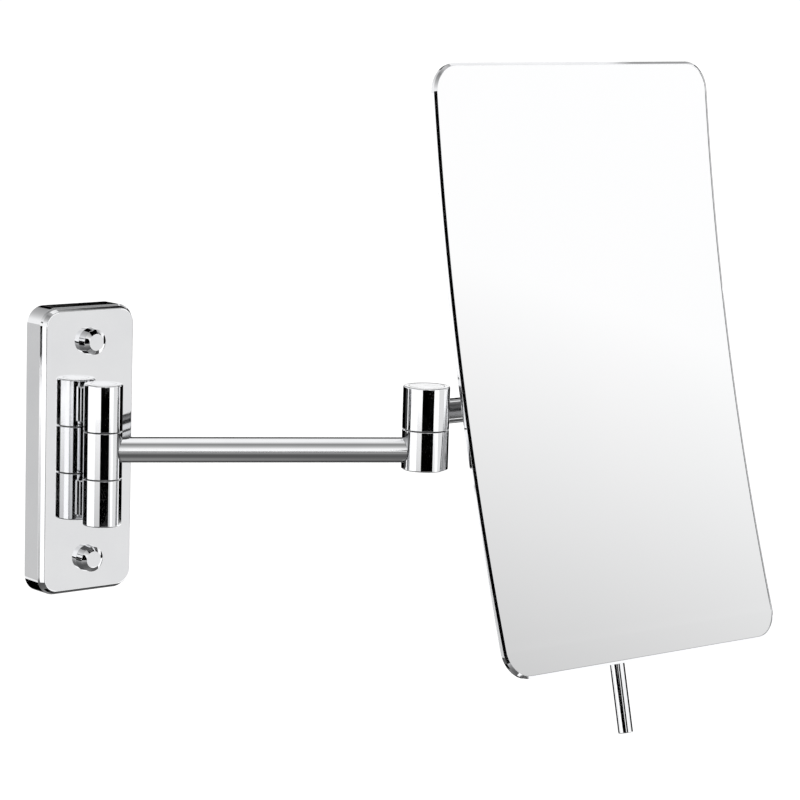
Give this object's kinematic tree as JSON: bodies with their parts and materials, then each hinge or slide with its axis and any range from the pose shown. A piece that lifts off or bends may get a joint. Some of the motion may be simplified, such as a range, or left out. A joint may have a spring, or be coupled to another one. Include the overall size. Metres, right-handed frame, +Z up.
{
  "type": "extendable shaving mirror",
  "caption": "Wall-mounted shaving mirror: a bent rectangular mirror with a handle tilts on a neck that swings at an elbow on an arm hinged to an upright wall plate.",
  "frame": {"origin": "middle of the wall plate's back face, on the wall plane", "axes": "+Z up, +X along the wall to the right, +Y into the wall; the mirror stands out towards -Y"},
  "size_m": [0.2583, 0.1444, 0.2414],
  "materials": {
    "polished_chrome": "bright plated",
    "mirror_face": "silvered glass",
    "satin_steel": "satin",
    "plain_steel": "zinc plated",
    "cast_alloy": "as cast",
    "white_nylon": "moulded",
    "black_acetal": "moulded",
    "foam_tape": "closed-cell foam"
  },
  "bodies": {
    "wall_base": {"wall_plate": "polished_chrome", "plate_core": "cast_alloy", "wall_screws": "plain_steel", "screw_cup_rings": "plain_steel", "screw_cover_caps": "polished_chrome", "hinge_knuckle_upper": "polished_chrome", "hinge_knuckle_lower": "polished_chrome", "knuckle_screws": "plain_steel", "hinge_pin": "plain_steel", "hinge_end_caps": "polished_chrome", "hinge_friction_washers": "black_acetal"},
    "arm": {"arm_hub": "polished_chrome", "hub_bush": "white_nylon", "arm_tube": "polished_chrome", "elbow_lower": "polished_chrome", "elbow_pivot_bolt": "plain_steel", "elbow_bottom_plug": "polished_chrome", "elbow_friction_washer": "black_acetal", "elbow_spring_washers": "plain_steel", "elbow_lock_nut": "plain_steel"},
    "neck": {"elbow_upper": "polished_chrome", "elbow_bush": "white_nylon", "elbow_top_cap": "polished_chrome", "neck_rod": "polished_chrome", "neck_side_washer": "black_acetal", "neck_end_washer": "plain_steel", "neck_end_screw": "plain_steel"},
    "mirror_head": {"mirror_rim": "polished_chrome", "mirror_glass": "mirror_face", "adhesive_pad": "foam_tape", "mirror_back": "satin_steel", "bracket_rivets": "plain_steel", "tilt_bracket": "polished_chrome", "tilt_bush": "white_nylon", "tilt_clamp_screw": "plain_steel", "handle_rod": "polished_chrome", "handle_collar": "polished_chrome"}
  },
  "joints": [
    {"name": "arm_swing", "type": "hinge", "parent": "wall_base", "child": "arm", "pos_m": [0, -0.019, 0], "axis": [0, 0, 1], "range_deg": [-149.7, 30.3]},
    {"name": "elbow_turn", "type": "hinge", "parent": "arm", "child": "neck", "pos_m": [0.09713, -0.07576, 0], "axis": [0, 0, 1], "range_deg": [-118, 108]},
    {"name": "mirror_tilt", "type": "hinge", "parent": "neck", "child": "mirror_head", "pos_m": [0.17233, -0.07576, 0.0143], "axis": [1, 0, 0], "range_deg": [-31.5, 43.5]}
  ]
}
